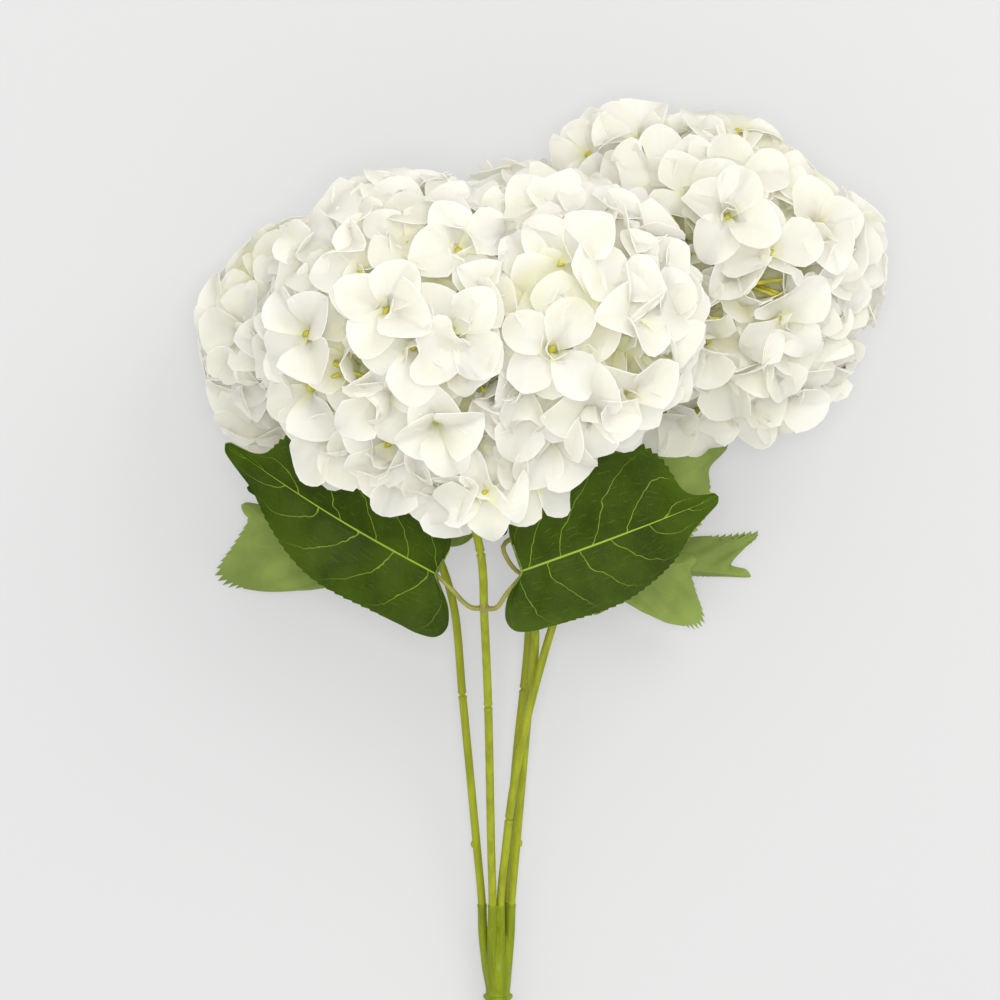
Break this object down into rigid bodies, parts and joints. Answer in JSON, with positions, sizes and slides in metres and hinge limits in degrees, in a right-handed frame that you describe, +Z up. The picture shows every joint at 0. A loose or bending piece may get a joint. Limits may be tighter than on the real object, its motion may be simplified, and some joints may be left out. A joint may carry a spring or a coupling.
{
  "type": "bunch of white hydrangeas",
  "caption": "Bunch of artificial white hydrangea blooms with toothed leaves on green stems plugged into a moulded joint, lying on its side.",
  "frame": {"origin": "middle of the flat spot under the middle back bloom, on the surface that the bunch lies on", "axes": "+Z up from the surface, +Y from the stem joint to the blooms, +X to the right as seen from above with the blooms at the top"},
  "size_m": [0.3492, 0.5153, 0.2455],
  "materials": {
    "petals": "matt woven fabric petals, off-white",
    "sprays": "yellow-green moulded plastic",
    "stems": "satin green moulded plastic",
    "stem_joint": "satin green moulded plastic",
    "leaf_stalks": "satin olive moulded plastic",
    "leaves": "printed fabric, dark green above and pale green below"
  },
  "bodies": {
    "root": {"bloom_left_back": "petals", "spray_left_back": "sprays", "stem_left_back": "stems", "stalks_left_back": "leaf_stalks", "leaf_left_back_1": "leaves", "leaf_left_back_2": "leaves", "bloom_front_left": "petals", "spray_front_left": "sprays", "stem_front_left": "stems", "stalks_front_left": "leaf_stalks", "leaf_front_left_1": "leaves", "leaf_front_left_2": "leaves", "bloom_front_right": "petals", "spray_front_right": "sprays", "stem_front_right": "stems", "stalks_front_right": "leaf_stalks", "leaf_front_right_1": "leaves", "leaf_front_right_2": "leaves", "bloom_middle_back": "petals", "spray_middle_back": "sprays", "stem_middle_back": "stems", "stalks_middle_back": "leaf_stalks", "leaf_middle_back_1": "leaves", "leaf_middle_back_2": "leaves", "bloom_right": "petals", "spray_right": "sprays", "stem_right": "stems", "stalks_right": "leaf_stalks", "leaf_right_1": "leaves", "leaf_right_2": "leaves", "stem_joint": "stem_joint"}
  },
  "joints": []
}
